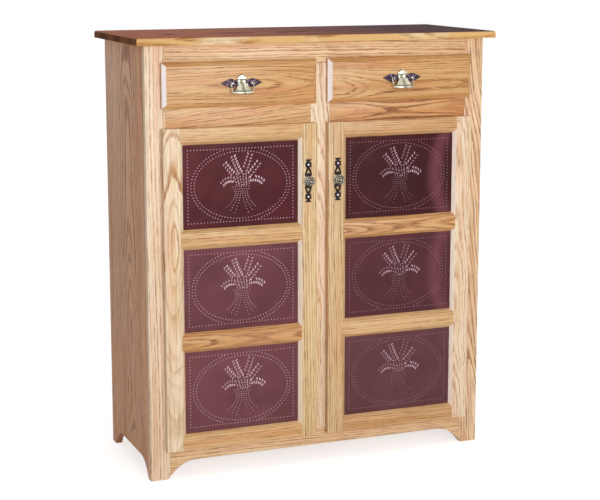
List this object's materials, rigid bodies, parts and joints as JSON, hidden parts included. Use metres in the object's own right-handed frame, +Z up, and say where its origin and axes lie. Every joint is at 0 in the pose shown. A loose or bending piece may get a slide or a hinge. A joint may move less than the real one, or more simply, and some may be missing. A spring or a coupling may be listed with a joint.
{
  "type": "pie safe",
  "caption": "Tall oak cupboard with framed doors of punched tin panels below a row of drawers, for keeping baked food, jars and linen.",
  "frame": {"origin": "on the floor under the middle of the whole box, knobs and top overhang included", "axes": "+X to the right as one faces the doors, +Y from the front to the back, +Z up"},
  "size_m": [1.07, 0.464, 1.2303],
  "materials": {
    "oak": "clear satin lacquer over open oak grain",
    "stained_oak": "dark reddish stain under satin lacquer",
    "plywood": "sealed plywood",
    "drawer_wood": "sealed pale hardwood",
    "punched_tin": "satin maroon enamel with bare punched burrs",
    "dark_iron": "antiqued black",
    "aged_nickel": "antiqued nickel with worn highlights",
    "hinge_steel": "nickel-plated pressed steel"
  },
  "bodies": {
    "cabinet": {"top_board": "stained_oak", "left_side": "oak", "right_side": "oak", "case_bottom": "oak", "lower_shelf": "oak", "upper_shelf": "oak", "drawer_deck": "plywood", "back_panel": "plywood", "face_stile_left": "oak", "face_stile_right": "oak", "face_bottom_rail": "oak", "face_top_rail": "oak", "face_middle_rail_left": "oak", "face_middle_rail_right": "oak", "face_stile_center": "oak", "left_door_lower_hinge_arm": "hinge_steel", "left_door_upper_hinge_arm": "hinge_steel", "right_door_lower_hinge_arm": "hinge_steel", "right_door_upper_hinge_arm": "hinge_steel"},
    "left_door": {"left_door_hinge_stile": "oak", "left_door_latch_stile": "oak", "left_door_bottom_rail": "oak", "left_door_lower_middle_rail": "oak", "left_door_upper_middle_rail": "oak", "left_door_top_rail": "oak", "left_door_tin_lower": "punched_tin", "left_door_tin_middle": "punched_tin", "left_door_tin_upper": "punched_tin", "left_door_knob_plate": "dark_iron", "left_door_knob": "aged_nickel", "left_door_lower_hinge_cup": "hinge_steel", "left_door_upper_hinge_cup": "hinge_steel"},
    "right_door": {"right_door_hinge_stile": "oak", "right_door_latch_stile": "oak", "right_door_bottom_rail": "oak", "right_door_lower_middle_rail": "oak", "right_door_upper_middle_rail": "oak", "right_door_top_rail": "oak", "right_door_tin_lower": "punched_tin", "right_door_tin_middle": "punched_tin", "right_door_tin_upper": "punched_tin", "right_door_knob_plate": "dark_iron", "right_door_knob": "aged_nickel", "right_door_lower_hinge_cup": "hinge_steel", "right_door_upper_hinge_cup": "hinge_steel"},
    "left_drawer": {"left_drawer_front": "oak", "left_drawer_left_side": "drawer_wood", "left_drawer_right_side": "drawer_wood", "left_drawer_back": "drawer_wood", "left_drawer_bottom": "plywood", "left_drawer_pull_plate": "dark_iron"},
    "left_bail": {"left_drawer_pull_bail": "aged_nickel"},
    "right_drawer": {"right_drawer_front": "oak", "right_drawer_left_side": "drawer_wood", "right_drawer_right_side": "drawer_wood", "right_drawer_back": "drawer_wood", "right_drawer_bottom": "plywood", "right_drawer_pull_plate": "dark_iron"},
    "right_bail": {"right_drawer_pull_bail": "aged_nickel"}
  },
  "joints": [
    {"name": "left_door_hinge", "type": "hinge", "parent": "cabinet", "child": "left_door", "pos_m": [-0.462, -0.1965, 0.535], "axis": [0, 0, -1], "range_deg": [0, 110]},
    {"name": "right_door_hinge", "type": "hinge", "parent": "cabinet", "child": "right_door", "pos_m": [0.462, -0.1965, 0.535], "axis": [0, 0, 1], "range_deg": [0, 110]},
    {"name": "left_drawer_slide", "type": "slide", "parent": "cabinet", "child": "left_drawer", "axis": [0, -1, 0], "range_m": [0, 0.28]},
    {"name": "left_bail_pivot", "type": "hinge", "parent": "left_drawer", "child": "left_bail", "pos_m": [-0.2405, -0.21325, 1.10375], "axis": [-1, 0, 0], "range_deg": [0, 85]},
    {"name": "right_drawer_slide", "type": "slide", "parent": "cabinet", "child": "right_drawer", "axis": [0, -1, 0], "range_m": [0, 0.28]},
    {"name": "right_bail_pivot", "type": "hinge", "parent": "right_drawer", "child": "right_bail", "pos_m": [0.2405, -0.21325, 1.10375], "axis": [-1, 0, 0], "range_deg": [0, 85]}
  ]
}
